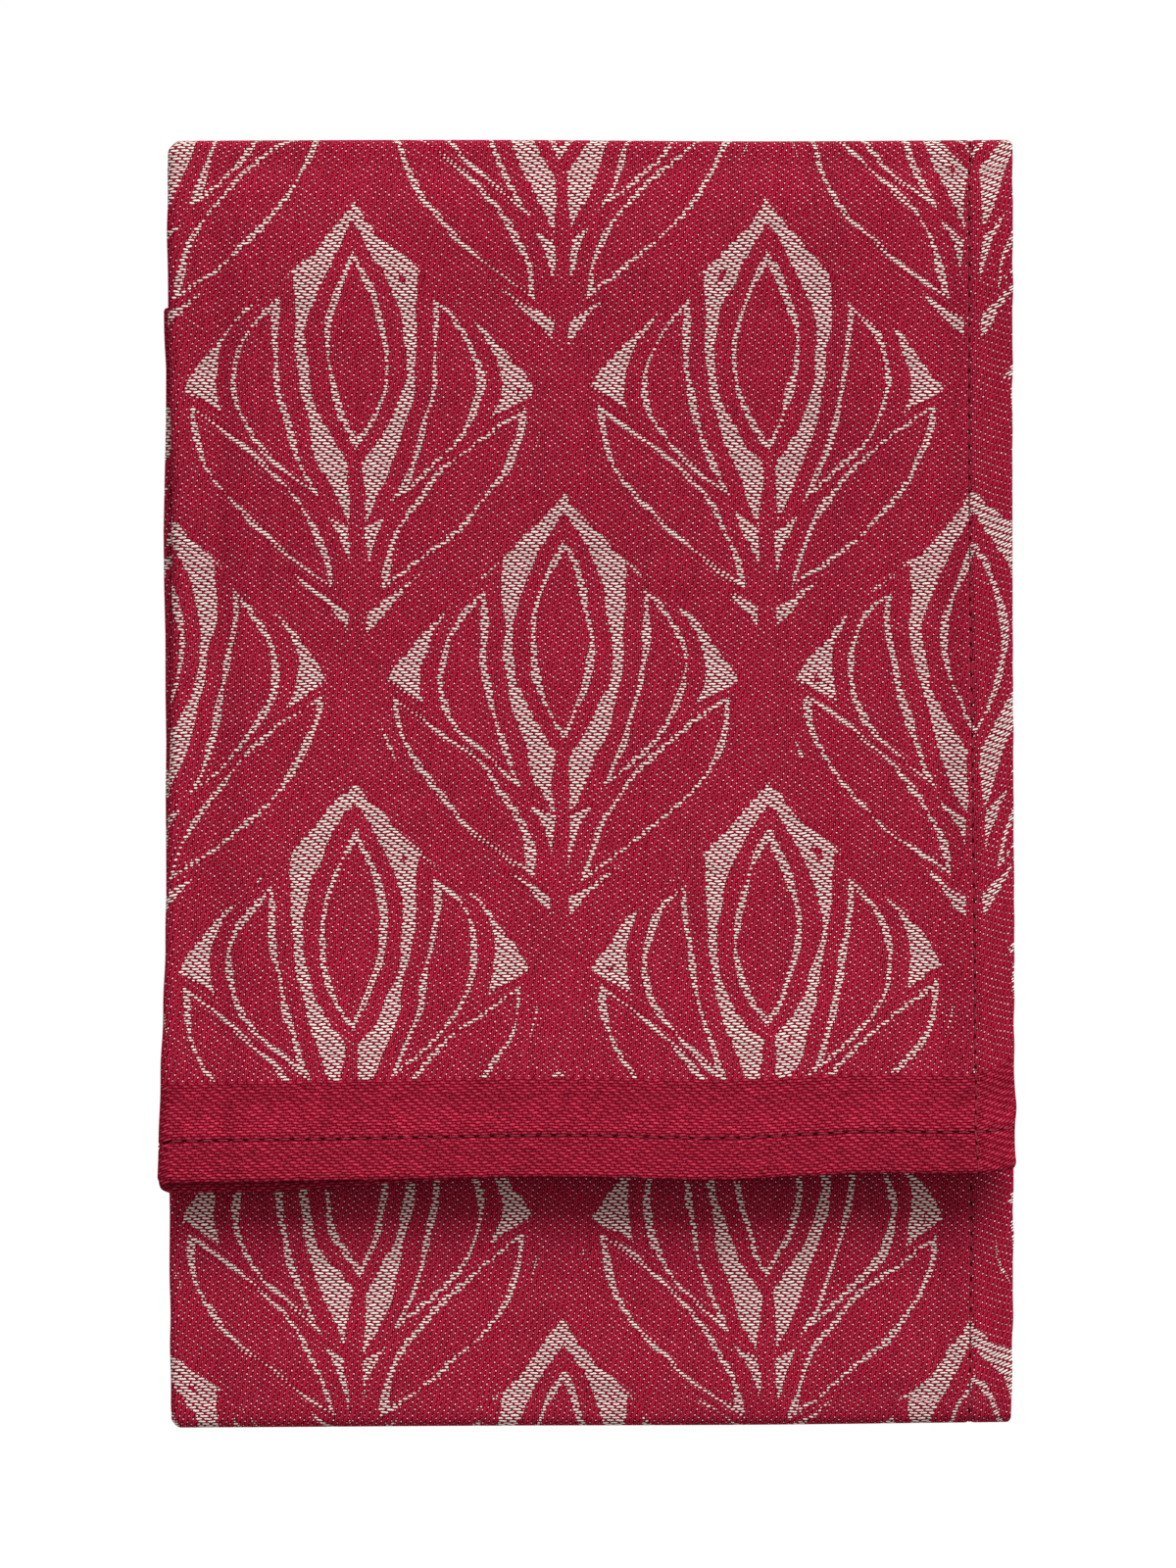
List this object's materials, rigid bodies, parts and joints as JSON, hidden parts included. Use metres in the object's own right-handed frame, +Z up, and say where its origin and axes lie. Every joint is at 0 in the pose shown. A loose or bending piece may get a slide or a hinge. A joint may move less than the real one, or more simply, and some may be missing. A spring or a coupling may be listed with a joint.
{
  "type": "folded tea towel",
  "caption": "Hemmed cotton tea towel, folded in three across and in three along, lying flat, with its hem end on top.",
  "frame": {"origin": "middle of the folded towel's plan, on the surface it lies on", "axes": "+X across the folded towel, from the folded side to the side hem, +Y from the open lower end to the top fold, +Z up"},
  "size_m": [0.1746, 0.2622, 0.015],
  "materials": {
    "cloth": "matt woven cotton, deep red ground with cream figures and a plain red end band",
    "sewing_thread": "dark red sewing thread in straight stitches along the hems"
  },
  "bodies": {
    "root": {"towel": "cloth"}
  },
  "joints": []
}
